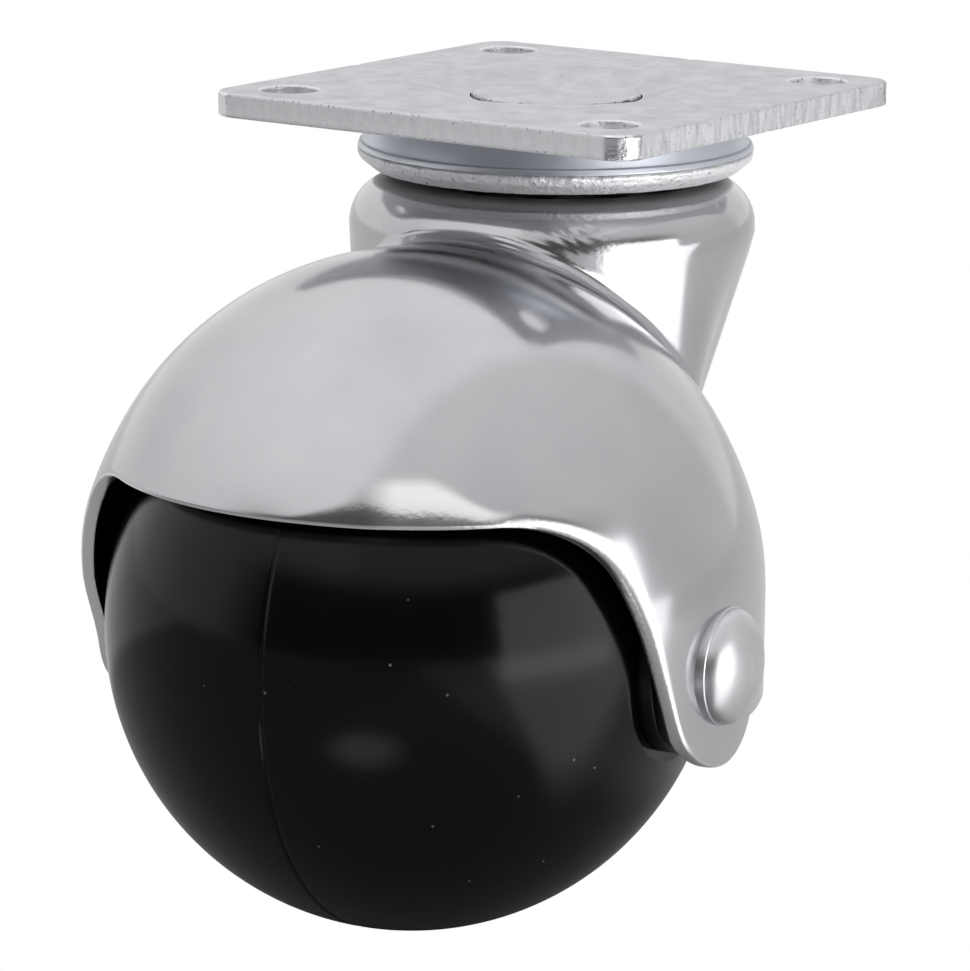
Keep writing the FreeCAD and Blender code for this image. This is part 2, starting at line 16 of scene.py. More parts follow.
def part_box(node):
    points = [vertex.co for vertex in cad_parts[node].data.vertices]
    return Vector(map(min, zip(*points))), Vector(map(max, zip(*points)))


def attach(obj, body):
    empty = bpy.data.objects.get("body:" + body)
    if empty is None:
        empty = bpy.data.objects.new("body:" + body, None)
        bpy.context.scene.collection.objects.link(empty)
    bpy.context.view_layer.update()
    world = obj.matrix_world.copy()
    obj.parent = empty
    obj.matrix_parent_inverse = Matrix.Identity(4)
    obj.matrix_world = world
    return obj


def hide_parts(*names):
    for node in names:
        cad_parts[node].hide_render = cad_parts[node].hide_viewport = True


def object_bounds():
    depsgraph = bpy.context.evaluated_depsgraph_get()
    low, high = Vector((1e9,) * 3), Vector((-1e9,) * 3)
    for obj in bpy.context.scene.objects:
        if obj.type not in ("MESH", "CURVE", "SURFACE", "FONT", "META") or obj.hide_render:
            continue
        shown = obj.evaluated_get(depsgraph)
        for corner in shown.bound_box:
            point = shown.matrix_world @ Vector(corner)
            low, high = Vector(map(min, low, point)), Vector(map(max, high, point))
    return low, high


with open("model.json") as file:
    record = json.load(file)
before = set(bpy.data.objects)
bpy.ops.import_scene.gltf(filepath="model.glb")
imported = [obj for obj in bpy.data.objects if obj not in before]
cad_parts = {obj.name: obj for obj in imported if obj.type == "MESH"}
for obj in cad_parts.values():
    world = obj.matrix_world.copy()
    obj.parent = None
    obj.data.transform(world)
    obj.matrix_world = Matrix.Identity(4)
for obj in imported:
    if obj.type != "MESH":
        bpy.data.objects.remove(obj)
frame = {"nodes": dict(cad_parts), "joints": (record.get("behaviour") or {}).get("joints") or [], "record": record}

cad_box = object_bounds()
MM = 0.001

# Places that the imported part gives
joints = {joint["name"]: joint for joint in frame["joints"]}
holes = {mount["name"]: mount for mount in frame["record"]["mounts"]}["plate_holes"]["dims"]
ball_spot = np.array(joints["ball_roll"]["pos_m"]) / MM
axle_line = np.array(joints["ball_roll"]["axis"])
TRAIL = math.hypot(ball_spot[0], ball_spot[1])
BALL_DROP = -ball_spot[2]
PLATE_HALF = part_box("mounting_plate")[1].x / MM
PIN_HEAD_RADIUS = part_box("king_pin")[1].x / MM
PIN_TOP = -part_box("king_pin")[1].z / MM
PIN_END = -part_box("king_pin")[0].z / MM
WASHER_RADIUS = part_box("thrust_washer")[1].x / MM
WASHER_TOP = -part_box("thrust_washer")[1].z / MM
WASHER_FOOT = -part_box("thrust_washer")[0].z / MM
FLOOR_DROP = -cad_box[0].z / MM

# Mounting plate
PLATE_GAUGE = 2.1
PLATE_CORNER = 2.6
PLATE_EDGE = 0.28
HOLE_EDGE = 0.22
HOLE_RADIUS = holes["hole_r_mm"]
HOLE_PLACE = holes["spacing_x_mm"] / 2
DISH_DEPTH = 0.9
DISH_SLOPE = 4.7
PIN_SEAT_RADIUS = 7.3
PIN_SEAT_FLOOR = 2.2
BOSS_RADIUS = 8.6
BOSS_DROP = 3.4

# King pin and race cup
PIN_RADIUS = 4.0
PIN_TAIL_RADIUS = 6.0
CUP_RADIUS = 15.4
CUP_FLARE = 1.4
CUP_GAUGE = 1.3
RIM_DROP = 4.6
CUP_LAND = 0.5
LIP_DROP = 6.85
RACE_RADIUS = 11.2
RACE_DROP = 5.53
TRACK_RADIUS = 2.48

# Hood pressing
SHEET = 1.2
NECK_DROP = 7.66
NECK_RADIUS = 18.4
NECK_TAPER = math.tan(math.radians(17))
NECK_FRONT_TAPER = 0.05
NECK_WIDEST = 3.0
NECK_SHOULDER = 4.0
HOOD_BLEND = 1.3
HOOD_RADIUS = 27.8
HOOD_TRAIL = TRAIL - 1.5
HOOD_DROP = BALL_DROP - 2.8
PIN_HOLE = 4.08
BROW_RISE = 13.5
BROW_CURVE = 7.2
EAR_ANGLE = math.radians(71)
EAR_RADIUS = 7.0
EAR_DROP = 8.2
SKIRT_DROP = 5.6
SKIRT_REACH = 9.7
EAR_SPREAD = 0.3
EAR_TUCK = 0.85
EAR_SEAT = 27.5 + EAR_SPREAD
HOOD_EDGE = 0.35
CURL = 0.13
CREASE_PITCH = 0.62
CREASE_HEIGHT = 0.024
STRETCH_PITCH = 0.75
STRETCH_HEIGHT = 0.02
STRETCH_TURN = math.radians(32)
STRETCH_DROP = 10.2

# Ball, bushes and axle rivet
BALL_RADIUS = 25.0
AXLE_RADIUS = 3.0
BORE_RADIUS = 3.24
BUSH_RADIUS = 4.2
BUSH_LENGTH = 8.0
BUSH_FLANGE = 1.4
BUSH_FLANGE_RADIUS = 7.4
HUB_FACE = 23.6
HUB_RIM = 0.25
SEAM_DEPTH = 0.12
RIVET_HEAD_RADIUS = 4.75
RIVET_RIM = 0.45
RIVET_DOME = 2.3
RIVET_TAIL_RADIUS = 4.3
RIVET_TAIL = 1.6


# Curves and surfaces
def smooth(low, high, value):
    """A cubic step: 0 up to low, 1 from high on, level at both ends."""
    share = np.clip((value - low) / (high - low), 0, 1)
    return share * share * (3 - 2 * share)


def waves(points, length, seed, count=20):
    """Uneven height of about unit size: the sum of plane waves, about that long, in random directions."""
    draw = np.random.default_rng(seed)
    aims = draw.normal(size=(count, 3))
    aims /= np.linalg.norm(aims, axis=1, keepdims=True)
    aims *= draw.uniform(0.6, 1.6, (count, 1)) * 2 * math.pi / length
    phases = draw.uniform(0, 2 * math.pi, count)
    return np.sin(points @ aims.T + phases).sum(-1) / math.sqrt(count / 2)


def rounded_path(corners, spacing, closed=False):
    """Points along straight runs whose corners are arcs.

    A corner is (across, along, radius). Its arc touches both runs, and the points lie about a spacing
    apart on the runs and in even steps on the arcs.
    """
    spots = np.array([corner[:2] for corner in corners], float)
    radii = [corner[2] if len(corner) > 2 else 0 for corner in corners]
    marks = []
    for number, (spot, radius) in enumerate(zip(spots, radii)):
        if radius == 0 or (not closed and number in (0, len(spots) - 1)):
            marks.append(spot[None])
            continue
        before = spots[number - 1] - spot
        after = spots[(number + 1) % len(spots)] - spot
        before /= np.linalg.norm(before)
        after /= np.linalg.norm(after)
        half = math.acos(np.clip(before @ after, -1, 1)) / 2
        middle = (before + after) / np.linalg.norm(before + after)
        centre = spot + middle * radius / math.sin(half)
        start = spot + before * radius / math.tan(half) - centre
        end = spot + after * radius / math.tan(half) - centre
        turn = math.pi - 2 * half
        share = np.linspace(0, 1, max(4, math.ceil(turn / math.radians(15))))[:, None]
        arc = np.sin((1 - share) * turn) * start + np.sin(share * turn) * end
        marks.append(centre + arc / math.sin(turn))
    path = np.concatenate(marks + ([marks[0][:1]] if closed else []))
    lengths = np.linalg.norm(np.diff(path, axis=0), axis=1)
    runs = [
        np.linspace(a, b, max(1, math.ceil(length / spacing)), endpoint=False)
        for a, b, length in zip(path[:-1], path[1:], lengths)
        if length > 1e-9
    ]
    return np.concatenate(runs + ([] if closed else [path[-1:]]))


def turned(profile, steps):
    """A profile of (radius, height) carried once round the Z axis: x is r cos a, y is r sin a."""
    angle = np.linspace(0, 2 * math.pi, steps, endpoint=False)
    radius, height = profile[:, 0, None], profile[:, 1, None]
    return np.stack(np.broadcast_arrays(radius * np.cos(angle), radius * np.sin(angle), height), -1)


def along_axle(points):
    """Lays a shape drawn round Z so that its Z is along the axle, and puts it at the ball's middle."""
    x, y, z = np.moveaxis(points, -1, 0)
    return np.stack([z, x - TRAIL, y - BALL_DROP], -1)


def at_rest(points):
    """Turns points of the swivel's own frame about Z to the angle at rest."""
    x, y, z = np.moveaxis(points, -1, 0)
    cosine, sine = axle_line[0], axle_line[1]
    return np.stack([x * cosine - y * sine, x * sine + y * cosine, z], -1)


def grid_quads(rows, columns, wrap_rows, wrap_columns):
    """Corner numbers of every quad of a grid, which may close on itself either way."""
    number = np.arange(rows * columns).reshape(rows, columns)
    if wrap_rows:
        number = np.concatenate([number, number[:1]])
    if wrap_columns:
        number = np.concatenate([number, number[:, :1]], axis=1)
    corners = number[:-1, :-1], number[:-1, 1:], number[1:, 1:], number[1:, :-1]
    return np.stack([corner.ravel() for corner in corners], -1)


def add_piece(name, grids, material, body, node, marks=None):
    """Welds grids of points into one closed mesh that rides on a body and stands for a node.

    A grid is (points, wrap_rows, wrap_columns). Marks are the numbers that the material reads, by name:
    a function of all the points, or one number for each of them.
    """
    points, quads, start = [], [], 0
    for grid, wrap_rows, wrap_columns in grids:
        rows, columns = grid.shape[:2]
        quads.append(grid_quads(rows, columns, wrap_rows, wrap_columns) + start)
        points.append(grid.reshape(-1, 3))
        start += rows * columns
    points, quads = np.concatenate(points), np.concatenate(quads)
    mesh = bpy.data.meshes.new(name)
    mesh.vertices.add(len(points))
    mesh.vertices.foreach_set("co", (points * MM).ravel().astype(np.float32))
    mesh.loops.add(quads.size)
    mesh.loops.foreach_set("vertex_index", quads.ravel().astype(np.int32))
    mesh.polygons.add(len(quads))
    mesh.polygons.foreach_set("loop_start", np.arange(0, quads.size, 4, dtype=np.int32))
    for mark, measure in (marks or {}).items():
        shares = measure(points) if callable(measure) else measure
        layer = mesh.attributes.new(mark, "FLOAT", "POINT")
        layer.data.foreach_set("value", shares.ravel().astype(np.float32))
    mesh.update(calc_edges=True)
    welded = bmesh.new()
    welded.from_mesh(mesh)
    bmesh.ops.remove_doubles(welded, verts=welded.verts, dist=2e-6)
    bmesh.ops.recalc_face_normals(welded, faces=welded.faces)
    welded.to_mesh(mesh)
    welded.free()
    mesh.shade_smooth()
    mesh.set_sharp_from_angle(angle=math.radians(40))
    mesh.materials.append(material)
    piece = bpy.data.objects.new(name, mesh)
    bpy.context.scene.collection.objects.link(piece)
    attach(piece, body)
    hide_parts(node)
    return piece


# Materials
def linear(hex_colour):
    """A six-digit sRGB hex colour as linear red, green, blue and alpha."""
    channels = [int(hex_colour[at:at + 2], 16) / 255 for at in (0, 2, 4)]
    return [c / 12.92 if c <= 0.04045 else ((c + 0.055) / 1.055) ** 2.4 for c in channels] + [1.0]


def add_node(tree, kind, inputs=None, **settings):
    """Adds a node with its settings.

    An input is a value, an sRGB hex colour, an output to link to it, or a node whose first output in use
    is linked to it.
    """
    node = tree.nodes.new("ShaderNode" + kind)
    for name, value in settings.items():
        setattr(node, name, value)
    for name, value in (inputs or {}).items():
        if isinstance(value, bpy.types.Node):
            value = next(output for output in value.outputs if output.enabled)
        if isinstance(value, bpy.types.NodeSocket):
            tree.links.new(value, node.inputs[name])
        else:
            node.inputs[name].default_value = linear(value) if isinstance(value, str) else value
    return node


def per_metre(size_mm):
    """Scale of a pattern whose features are about that many millimetres across."""
    return 1 / (size_mm * MM)


def new_material(name):
    """An empty material, its node tree, and the point of the piece that is being shaded."""
    material = bpy.data.materials.new(name)
    material.use_nodes = True
    tree = material.node_tree
    tree.nodes.clear()
    return material, tree, add_node(tree, "TexCoord").outputs["Object"]


def bright_plated_steel():
    """Bright plating over deep-drawn steel.

    It is a soft mirror with hazy wiping marks and a few dark specks. Where the sheet was worked hardest,
    its skin is rough like orange peel. The trimmed edge and a flat stretch along the brow's curl are
    lightened towards white as a painted highlight. The inside and the neck's top were never polished and
    are dull. The inside is painted dark as painted shade, and the neck's top is painted darker round its
    edge, as painted shade under the cup's lip.
    """
    material, tree, spot = new_material("bright_plated_steel")
    inside, dull, painted_gap_shade, worked, painted_highlight = (
        add_node(tree, "Attribute", attribute_name=mark).outputs["Fac"]
        for mark in ("inside", "dull", "painted_gap_shade", "worked", "painted_highlight")
    )
    haze = add_node(tree, "TexNoise", {"Vector": spot, "Scale": per_metre(11), "Detail": 4})
    # Peel on such steel is 0.1 to 0.2 mm across, and is drawn coarser so that it shows
    peel = add_node(tree, "TexNoise", {"Vector": spot, "Scale": per_metre(0.4), "Detail": 3})
    specks = add_node(tree, "TexVoronoi", {"Vector": spot, "Scale": per_metre(7)})
    wiped = add_node(tree, "MapRange", {"Value": haze, "From Min": 0.3, "From Max": 0.7})
    polish = add_node(tree, "MapRange", {"Value": wiped, "To Min": 0.11, "To Max": 0.19})
    peeled = add_node(tree, "Mix", {"Factor": worked, "A": polish, "B": 0.24})
    rough = add_node(tree, "Mix", {"Factor": dull, "A": peeled, "B": 0.7})
    speck = add_node(tree, "MapRange", {
        "Value": specks, "From Min": 0.01, "From Max": 0.03, "To Min": 0.7, "To Max": 0})
    clean = add_node(tree, "Mix", {"Factor": wiped, "A": "bcbcbe", "B": "b0b0b3"}, data_type="RGBA")
    # painted highlight: the trimmed edge and a flat stretch of the brow are lightened towards white
    highlighted = add_node(tree, "Mix", {"Factor": painted_highlight, "A": clean, "B": "f2f2f2"}, data_type="RGBA")
    shade = add_node(tree, "Mix", {"Factor": speck, "A": highlighted, "B": "5a5a5c"}, data_type="RGBA")
    # painted shade: the neck's top is darkened round its edge, under the cup's lip
    film = add_node(tree, "Mix", {"Factor": painted_gap_shade, "A": shade, "B": "8c8c8e"}, data_type="RGBA")
    # painted shade: the hood's inside is painted dark
    colour = add_node(tree, "Mix", {"Factor": inside, "A": film, "B": "3a3a3b"}, data_type="RGBA")
    lift = add_node(tree, "MapRange", {"Value": worked, "To Min": 0.015, "To Max": 0.6})
    bump = add_node(tree, "Bump", {"Height": peel, "Strength": lift, "Distance": 0.05 * MM})
    steel = add_node(tree, "BsdfPrincipled", {
        "Base Color": colour, "Metallic": 1.0, "Roughness": rough, "Normal": bump})
    add_node(tree, "OutputMaterial", {"Surface": steel})
    return material


def zinc_sheet():
    """Bright zinc on rolled sheet.

    It is matt and mottled from handling on top. Undersides are painted lighter, as painted light. The
    sheared sides are chalky, with faint streaks, ragged dark pits along their edges and burnished corners.
    The +X side is coarser, with more pits, and is painted darker in faint streaks, as painted shade.
    """
    material, tree, spot = new_material("zinc_plated_sheet")
    sheared, ragged, burnished, coarse_side_and_shade, below = (
        add_node(tree, "Attribute", attribute_name=mark).outputs["Fac"]
        for mark in ("sheared", "ragged", "burnished", "coarse_side_and_shade", "below")
    )
    mottle = add_node(tree, "TexNoise", {
        "Vector": spot, "Scale": per_metre(3), "Detail": 8, "Roughness": 0.68})
    grain = add_node(tree, "TexNoise", {"Vector": spot, "Scale": per_metre(0.3), "Detail": 3})
    upright = add_node(tree, "Mapping", {"Vector": spot, "Scale": (1, 1, 0.2)})
    streaks = add_node(tree, "TexNoise", {"Vector": upright, "Scale": per_metre(0.5), "Detail": 3})
    shade = add_node(tree, "MapRange", {"Value": mottle, "From Min": 0.3, "From Max": 0.7})
    top = add_node(tree, "Mix", {"Factor": shade, "A": "c8c8cb", "B": "b0b0b4"}, data_type="RGBA")
    # painted light: undersides are lightened
    face_with_painted_underside = add_node(tree, "Mix", {"Factor": below, "A": top, "B": "e2e3e6"}, data_type="RGBA")
    side = add_node(tree, "Mix", {"Factor": streaks, "A": "eeeef0", "B": "d6d6d9"}, data_type="RGBA")
    streak = add_node(tree, "MapRange", {
        "Value": streaks, "From Min": 0.38, "From Max": 0.62, "To Min": 0.8, "To Max": 1.2})
    # painted shade: the +X side is darkened, in faint streaks
    side_shade = add_node(tree, "Math", {0: coarse_side_and_shade, 1: streak}, operation="MULTIPLY")
    side_with_shade = add_node(tree, "Mix", {"Factor": side_shade, "A": side, "B": "8c8c90"}, data_type="RGBA")
    skin = add_node(tree, "Mix", {"Factor": sheared, "A": face_with_painted_underside, "B": side_with_shade}, data_type="RGBA")
    raised = add_node(tree, "Math", {0: ragged, 1: 0.25, 2: grain}, operation="MULTIPLY_ADD")
    pits = add_node(tree, "MapRange", {
        "Value": raised, "From Min": 0.86, "From Max": 0.92, "To Max": 0.75})
    colour = add_node(tree, "Mix", {"Factor": pits, "A": skin, "B": "4c4c4e"}, data_type="RGBA")
    chalk = add_node(tree, "Math", {0: sheared, 1: burnished}, operation="SUBTRACT")
    metal = add_node(tree, "MapRange", {"Value": chalk, "To Min": 1, "To Max": 0.1})
    rolled = add_node(tree, "MapRange", {"Value": shade, "To Min": 0.36, "To Max": 0.5})
    torn = add_node(tree, "Mix", {"Factor": sheared, "A": rolled, "B": 0.65})
    rough = add_node(tree, "Mix", {"Factor": burnished, "A": torn, "B": 0.16})
    lift = add_node(tree, "MapRange", {"Value": sheared, "To Min": 0.1, "To Max": 0.5})
    bump = add_node(tree, "Bump", {"Height": grain, "Strength": lift, "Distance": 0.1 * MM})
    zinc = add_node(tree, "BsdfPrincipled", {
        "Base Color": colour, "Metallic": metal, "Roughness": rough, "Normal": bump})
    add_node(tree, "OutputMaterial", {"Surface": zinc})
    return material


def zinc_pressing():
    """Blue-tinged zinc on a pressed ring.

    It is smooth above the rim and rough and pitted where the lip was rolled. The fine groove between the
    two is painted dark as painted shade.
    """
    material, tree, spot = new_material("zinc_plated_pressing")
    lip = add_node(tree, "Attribute", attribute_name="lip").outputs["Fac"]
    groove = add_node(tree, "Attribute", attribute_name="groove").outputs["Fac"]
    mottle = add_node(tree, "TexNoise", {"Vector": spot, "Scale": per_metre(4), "Detail": 4})
    grain = add_node(tree, "TexNoise", {"Vector": spot, "Scale": per_metre(0.45), "Detail": 3})
    cone = add_node(tree, "Mix", {"Factor": mottle, "A": "d4d7dd", "B": "c0c4cb"}, data_type="RGBA")
    shade = add_node(tree, "Mix", {"Factor": lip, "A": cone, "B": "e4e4e6"}, data_type="RGBA")
    pits = add_node(tree, "MapRange", {
        "Value": grain, "From Min": 0.64, "From Max": 0.7, "To Max": 0.6})
    pitted = add_node(tree, "Math", {0: pits, 1: lip}, operation="MULTIPLY")
    # painted shade in the groove, together with the lip's pits
    pits_and_groove_shade = add_node(tree, "Math", {0: pitted, 1: groove}, operation="MAXIMUM")
    colour = add_node(tree, "Mix", {"Factor": pits_and_groove_shade, "A": shade, "B": "55565a"}, data_type="RGBA")
    rough = add_node(tree, "MapRange", {"Value": lip, "To Min": 0.36, "To Max": 0.42})
    lift = add_node(tree, "MapRange", {"Value": lip, "To Min": 0.03, "To Max": 0.9})
    bump = add_node(tree, "Bump", {"Height": grain, "Strength": lift, "Distance": 0.2 * MM})
    metal = add_node(tree, "MapRange", {"Value": lip, "To Min": 1, "To Max": 0.6})
    zinc = add_node(tree, "BsdfPrincipled", {
        "Base Color": colour, "Metallic": metal, "Roughness": rough, "Normal": bump})
    add_node(tree, "OutputMaterial", {"Surface": zinc})
    return material


def satin_rivet_steel():
    """Plated rivet steel after forming: satin, with small dents from the rivet set."""
    material, tree, spot = new_material("satin_rivet_steel")
    dents = add_node(tree, "TexNoise", {"Vector": spot, "Scale": per_metre(1.4), "Detail": 4})
    shade = add_node(tree, "Mix", {"Factor": dents, "A": "cdcdcf", "B": "b4b4b7"}, data_type="RGBA")
    rough = add_node(tree, "MapRange", {"Value": dents, "To Min": 0.28, "To Max": 0.4})
    bump = add_node(tree, "Bump", {"Height": dents, "Strength": 0.25, "Distance": 0.08 * MM})
    steel = add_node(tree, "BsdfPrincipled", {
        "Base Color": shade, "Metallic": 1.0, "Roughness": rough, "Normal": bump})
    add_node(tree, "OutputMaterial", {"Surface": steel})
    return material


def bearing_steel():
    """Hardened bearing steel under a film of grease: dark, with a soft shine."""
    material, tree, spot = new_material("greased_bearing_steel")
    film = add_node(tree, "TexNoise", {"Vector": spot, "Scale": per_metre(1.5), "Detail": 2})
    shade = add_node(tree, "Mix", {"Factor": film, "A": "7d7d80", "B": "6a6763"}, data_type="RGBA")
    rough = add_node(tree, "MapRange", {"Value": film, "To Min": 0.3, "To Max": 0.5})
    steel = add_node(tree, "BsdfPrincipled", {"Base Color": shade, "Metallic": 1.0, "Roughness": rough})
    add_node(tree, "OutputMaterial", {"Surface": steel})
    return material


def black_polypropylene(name, roughest):
    """Moulded black polypropylene: semi-gloss, slightly wavy from the mould, with scattered pale nicks."""
    material, tree, spot = new_material(name)
    flow = add_node(tree, "TexNoise", {"Vector": spot, "Scale": per_metre(9), "Detail": 3})
    skin = add_node(tree, "TexNoise", {"Vector": spot, "Scale": per_metre(1.2), "Detail": 3})
    nicks = add_node(tree, "TexVoronoi", {"Vector": spot, "Scale": per_metre(3)})
    nick = add_node(tree, "MapRange", {
        "Value": nicks, "From Min": 0.02, "From Max": 0.05, "To Min": 1, "To Max": 0})
    colour = add_node(tree, "Mix", {"Factor": nick, "A": "050405", "B": "6a686a"}, data_type="RGBA")
    rough = add_node(tree, "MapRange", {
        "Value": flow, "From Min": 0.3, "From Max": 0.7, "To Min": roughest - 0.08, "To Max": roughest})
    bump = add_node(tree, "Bump", {"Height": skin, "Strength": 0.08, "Distance": 0.05 * MM})
    plastic = add_node(tree, "BsdfPrincipled", {
        "Base Color": colour, "Roughness": rough, "IOR": 1.49, "Specular IOR Level": 0.2,
        "Normal": bump})
    add_node(tree, "OutputMaterial", {"Surface": plastic})
    return material


# Mounting plate
seat_turn = np.linspace(0, math.pi / 2, 25)
quarters = [np.array([x, y, 1]) for x in (1, -1) for y in (1, -1)]


def plate_quarter(inner_radius, steps):
    """Border of one quarter of the plate, anticlockwise from the middle of its +X side, seen from above.

    It runs along the plate's outline and back by the two cuts and the round seat in the middle. Also
    returns how many of its points lie on the outline.
    """
    flat = np.linspace(0, PLATE_HALF - PLATE_CORNER, steps)
    turn = np.linspace(0, math.pi / 2, steps // 3)[1:-1]
    corner = PLATE_HALF - PLATE_CORNER + PLATE_CORNER * np.stack([np.cos(turn), np.sin(turn)], -1)
    side_x = np.stack([np.full(steps, PLATE_HALF), flat], -1)
    side_y = np.stack([flat[::-1], np.full(steps, PLATE_HALF)], -1)
    cut = np.linspace(PLATE_HALF, inner_radius, steps // 2)[1:]
    cut_y = np.stack([np.zeros(len(cut)), cut], -1)
    cut_x = np.stack([cut[::-1], np.zeros(len(cut))], -1)
    seat = inner_radius * np.stack([np.sin(seat_turn), np.cos(seat_turn)], -1)[1:-1]
    outline = np.concatenate([side_x, corner, side_y])
    return np.concatenate([outline, cut_y, seat, cut_x]), len(outline)


def edge_drop(distance, radius):
    """How far a rounded edge falls away: radius at the very edge, along a quarter circle to nothing."""
    short = np.clip(radius - distance, 0, radius)
    return radius - np.sqrt(radius**2 - short**2)


def outline_distance(across, along):
    """Distance inside the plate's outline, a square with rounded corners."""
    over_x = np.maximum(np.abs(across) - PLATE_HALF + PLATE_CORNER, 0)
    over_y = np.maximum(np.abs(along) - PLATE_HALF + PLATE_CORNER, 0)
    beyond = np.maximum(np.abs(across), np.abs(along)) - PLATE_HALF
    return np.where((over_x > 0) & (over_y > 0), PLATE_CORNER - np.hypot(over_x, over_y), -beyond)


def plate_skin(border):
    """Points from a screw hole's rim to the border of its quarter, closest together at both ends."""
    toward = np.arctan2(border[:, 1] - HOLE_PLACE, border[:, 0] - HOLE_PLACE)
    rim = HOLE_PLACE + HOLE_RADIUS * np.stack([np.cos(toward), np.sin(toward)], -1)
    share = (1 - np.cos(np.linspace(0, math.pi, 44)))[:, None, None] / 2
    return rim + (border - rim) * share


def shear_marks(points):
    """Upright tear marks of a sheared side: waves that vary along the edge and hardly in height."""
    return waves(points * [1, 1, 0.12], 1.1, 3) + 0.6 * waves(points * [1, 1, 0.3], 0.5, 4)


def sheared_share(points):
    """1 on the plate's sides and in its holes, fading out over the rounded edges."""
    across, along = points[:, 0], points[:, 1]
    hole = np.hypot(np.abs(across) - HOLE_PLACE, np.abs(along) - HOLE_PLACE) - HOLE_RADIUS
    return smooth(0.3, 0.02, np.minimum(outline_distance(across, along), hole))


def ragged_share(points):
    """1 on the sheared sides near their edges, less between, and 0.9 all over the +X side."""
    height = points[:, 2]
    lower = smooth(0.6 - PLATE_GAUGE, 0.3 - PLATE_GAUGE, height)
    near_edge = np.maximum(smooth(-0.8, -0.3, height), lower)
    return sheared_share(points) * np.maximum(0.4 + 0.6 * near_edge, 1.5 * coarse_side_and_shade_share(points))


def coarse_side_and_shade_share(points):
    """0.6 on the plate's +X side, which is coarser than the others and painted darker as painted shade, 0
    elsewhere.
    """
    return 0.6 * smooth(PLATE_HALF - 0.5, PLATE_HALF - 0.3, points[:, 0])


def burnished_share(points):
    """1 on the plate's rounded corners, less in its punched holes, 0 on the rest of its sides."""
    over = np.abs(points[:, :2]).min(-1) - PLATE_HALF + PLATE_CORNER
    punched = 0.7 * (np.abs(points[:, :2]).max(-1) < PLATE_HALF - 1)
    return sheared_share(points) * np.maximum(smooth(0.2, 0.5, over), punched)


def painted_underside_light_share(points):
    """1 on undersides, where the colour is lightened as painted light, and 0 on top."""
    return smooth(-PLATE_GAUGE / 3, -PLATE_GAUGE, points[:, 2])


def mounting_plate(material):
    """The plate's top, underside, sides, screw holes and the round seat of the king pin.

    Top and underside are heights over the plate: level, less the rounding at outline and holes, and less
    the dish on top.
    """
    grids = []
    walls = np.linspace(0, 1, 14)[:, None]
    for inner_radius, level, facing in ((PIN_SEAT_RADIUS, 0.0, 1), (BOSS_RADIUS, -PLATE_GAUGE, -1)):
        border, _ = plate_quarter(inner_radius, 64)
        flat = plate_skin(border)
        across, along = flat[..., 0], flat[..., 1]
        fall = edge_drop(outline_distance(across, along), PLATE_EDGE)
        fall += edge_drop(np.hypot(across - HOLE_PLACE, along - HOLE_PLACE) - HOLE_RADIUS, HOLE_EDGE)
        height = level - facing * fall
        if facing == 1:
            radius = np.hypot(across, along)
            height = height - DISH_DEPTH * smooth(PIN_SEAT_RADIUS + DISH_SLOPE, PIN_SEAT_RADIUS, radius)
        skin = np.stack([across, along, height], -1)
        grids += [(skin * flip, False, True) for flip in quarters]
    border, count = plate_quarter(PIN_SEAT_RADIUS, 64)
    outline, rim = border[:count], plate_skin(border)[0]
    for reach, edge, closed in ((outline, PLATE_EDGE, False), (rim, HOLE_EDGE, True)):
        height = -edge - walls * (PLATE_GAUGE - 2 * edge)
        across, along, height = np.broadcast_arrays(reach[:, 0], reach[:, 1], height)
        wall = np.stack([across, along, height], -1)
        if not closed:
            bulge = np.sin(math.pi * walls) * (0.03 + 0.012 * shear_marks(wall))
            inward = np.sign(reach) * (np.abs(reach) > PLATE_HALF - PLATE_CORNER)
            wall[..., :2] -= bulge[..., None] * inward
        grids += [(wall * flip, False, closed) for flip in quarters]
    seat = np.array([
        (PIN_SEAT_RADIUS, -DISH_DEPTH),
        (PIN_SEAT_RADIUS, -PIN_SEAT_FLOOR),
        (PIN_RADIUS, -PIN_SEAT_FLOOR),
        (PIN_RADIUS, -BOSS_DROP),
        (BOSS_RADIUS, -BOSS_DROP),
        (BOSS_RADIUS, -PLATE_GAUGE),
    ])
    grids.append((turned(seat, 4 * (len(seat_turn) - 1)), False, True))
    add_piece("mounting_plate_skin", grids, material, "plate", "mounting_plate",
              {"sheared": sheared_share, "ragged": ragged_share, "burnished": burnished_share,
               "coarse_side_and_shade": coarse_side_and_shade_share, "below": painted_underside_light_share})


# King pin, washer and race cup
def pin_edge_dark_share(points):
    """1.4 on the upright edge of the king pin's head, where it makes dense dark pits, and 0 elsewhere."""
    radius = np.hypot(points[:, 0], points[:, 1])
    return 1.4 * smooth(PIN_HEAD_RADIUS - 0.25, PIN_HEAD_RADIUS - 0.1, radius)


def king_pin(material):
    """Rivet turned about the swivel axis: flat head with a worn edge, shank and domed lower end."""
    corners = [
        (0, -PIN_TOP - 0.04),
        (PIN_HEAD_RADIUS - 0.8, -PIN_TOP, 2),
        (PIN_HEAD_RADIUS, -PIN_TOP - 0.06, 0.1),
        (PIN_HEAD_RADIUS, -PIN_SEAT_FLOOR),
        (PIN_RADIUS, -PIN_SEAT_FLOOR),
        (PIN_RADIUS, -WASHER_FOOT),
        (PIN_TAIL_RADIUS, -WASHER_FOOT),
        (PIN_TAIL_RADIUS * 0.86, -WASHER_FOOT - 0.75, 1.2),
        (PIN_TAIL_RADIUS * 0.4, -PIN_END, 3),
        (0, -PIN_END),
    ]
    add_piece("king_pin_rivet", [(turned(rounded_path(corners, 0.4), 120), False, True)],
              material, "plate", "king_pin", {"below": painted_underside_light_share, "ragged": pin_edge_dark_share})


